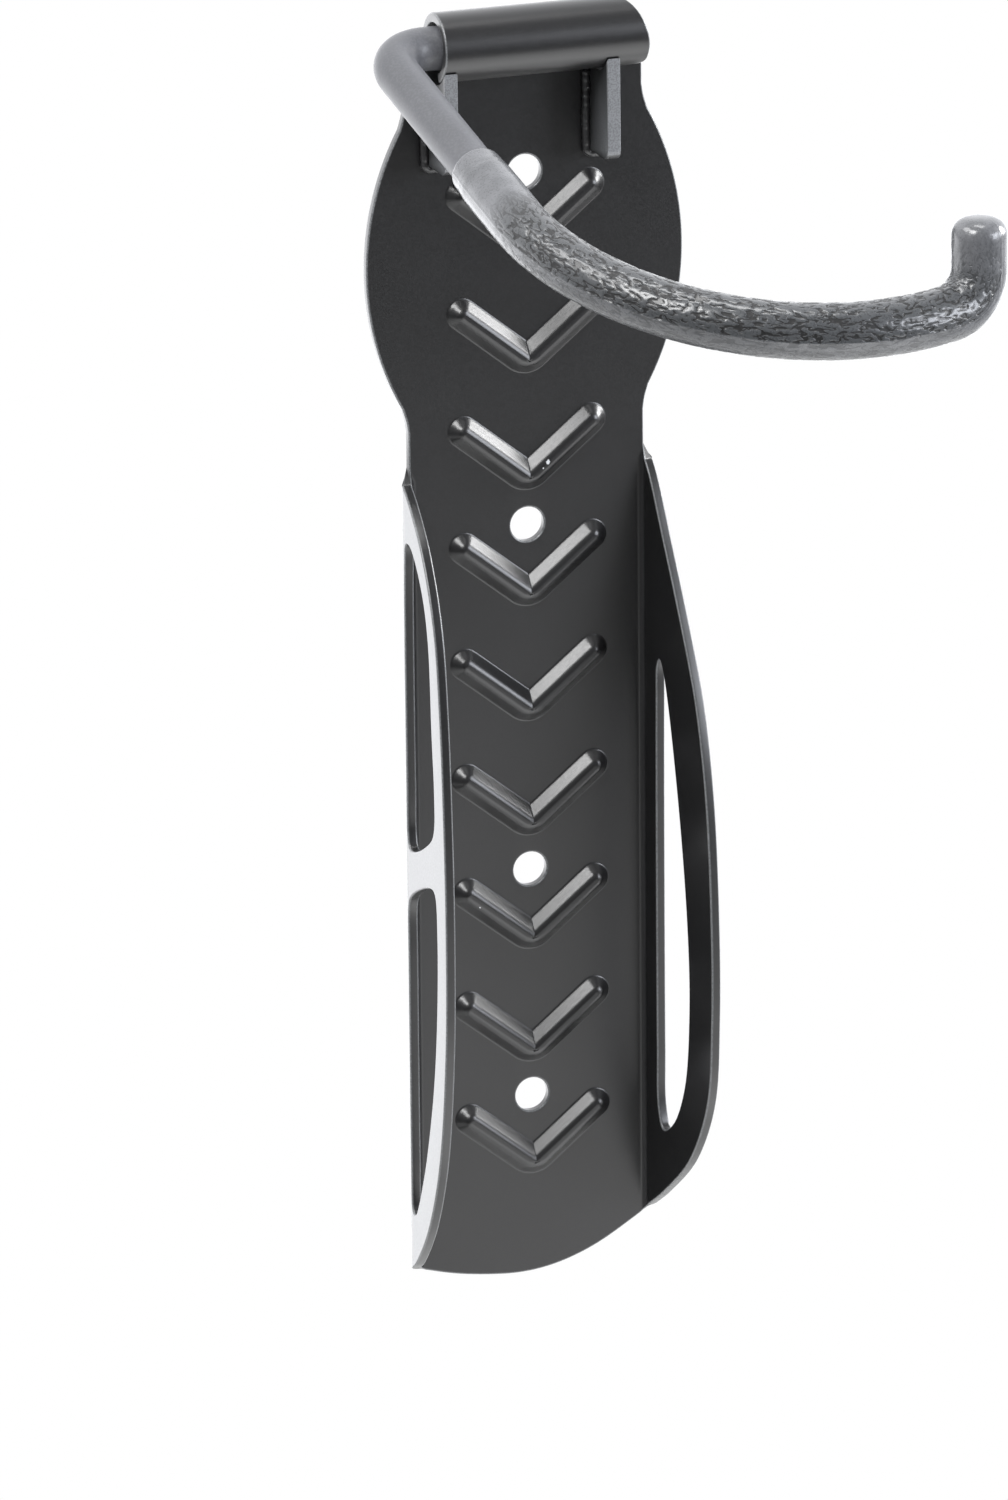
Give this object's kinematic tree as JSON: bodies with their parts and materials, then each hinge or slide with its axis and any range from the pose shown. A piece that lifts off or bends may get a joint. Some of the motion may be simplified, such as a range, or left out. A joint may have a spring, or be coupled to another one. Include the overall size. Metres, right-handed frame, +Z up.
{
  "type": "bicycle wall rack",
  "caption": "Wall rack that hangs a bicycle by a wheel: a pressed steel plate with ribbed face and two cut-out tyre guards, and a sleeved hook through a rolled barrel.",
  "frame": {"origin": "on the wall face, on the plate's centreline, half way up the rack", "axes": "+Z up, +Y into the wall (out of the rack's back), so the hook stands out along -Y; +X to the right seen from the front"},
  "size_m": [0.0913, 0.1199, 0.265],
  "materials": {
    "plate_coat": "semi-gloss black powder coat",
    "rod_coat": "semi-gloss black coat on smooth rod",
    "sleeve_vinyl": "glossy soft vinyl with a wrinkled grain"
  },
  "bodies": {
    "root": {"back_plate": "plate_coat", "gusset_left": "plate_coat", "gusset_right": "plate_coat", "gusset_left_weld": "plate_coat", "gusset_right_weld": "plate_coat", "rod_end_weld": "plate_coat", "hook_rod": "rod_coat", "hook_sleeve": "sleeve_vinyl"}
  },
  "joints": []
}
